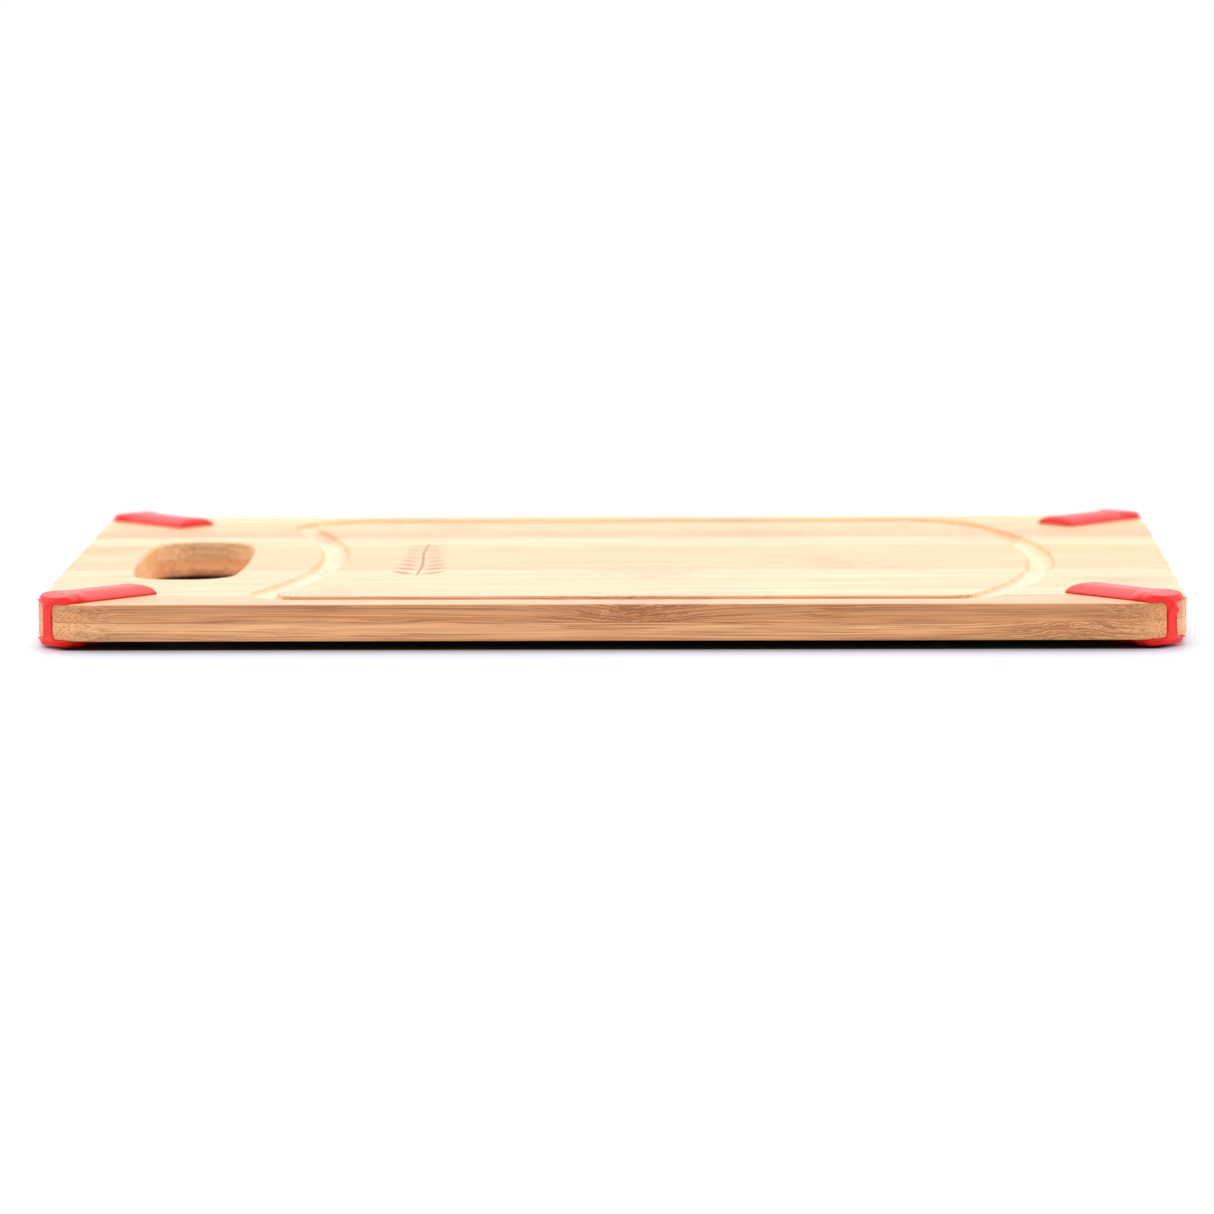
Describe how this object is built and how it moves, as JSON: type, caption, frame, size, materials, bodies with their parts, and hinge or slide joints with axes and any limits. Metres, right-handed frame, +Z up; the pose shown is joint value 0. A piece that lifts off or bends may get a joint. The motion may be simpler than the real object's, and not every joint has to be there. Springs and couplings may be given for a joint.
{
  "type": "chopping board",
  "caption": "Flat laminated bamboo chopping board with hand hole, juice groove and rubber corner bumpers; free-standing on its bumpers.",
  "frame": {"origin": "centre of the footprint on the table under the bumpers", "axes": "+X along the board, away from the hand hole; +Y to the far long edge; +Z up out of the grooved face"},
  "size_m": [0.38, 0.265, 0.0182],
  "materials": {
    "bamboo_top": "fine sanded, oiled, satin",
    "bamboo_bottom": "fine sanded, oiled, satin",
    "rubber": "smooth moulded, satin gloss"
  },
  "bodies": {
    "root": {"bottom_strip_01": "bamboo_bottom", "bottom_strip_02": "bamboo_bottom", "bottom_strip_03": "bamboo_bottom", "bottom_strip_04": "bamboo_bottom", "bottom_strip_05": "bamboo_bottom", "bottom_strip_05_handle_end": "bamboo_bottom", "bottom_strip_06": "bamboo_bottom", "bottom_strip_06_handle_end": "bamboo_bottom", "bottom_strip_07": "bamboo_bottom", "bottom_strip_07_handle_end": "bamboo_bottom", "bottom_strip_08": "bamboo_bottom", "bottom_strip_08_handle_end": "bamboo_bottom", "bottom_strip_09": "bamboo_bottom", "bottom_strip_10": "bamboo_bottom", "bottom_strip_11": "bamboo_bottom", "bottom_strip_12": "bamboo_bottom", "corner_bumper_back_left": "rubber", "corner_bumper_back_right": "rubber", "corner_bumper_front_left": "rubber", "corner_bumper_front_right": "rubber", "top_strip_01": "bamboo_top", "top_strip_02": "bamboo_top", "top_strip_03": "bamboo_top", "top_strip_04": "bamboo_top", "top_strip_04_handle_end": "bamboo_top", "top_strip_05": "bamboo_top", "top_strip_05_handle_end": "bamboo_top", "top_strip_06": "bamboo_top", "top_strip_06_handle_end": "bamboo_top", "top_strip_07": "bamboo_top", "top_strip_07_handle_end": "bamboo_top", "top_strip_08": "bamboo_top", "top_strip_09": "bamboo_top", "top_strip_10": "bamboo_top", "top_strip_11": "bamboo_top"}
  },
  "joints": []
}
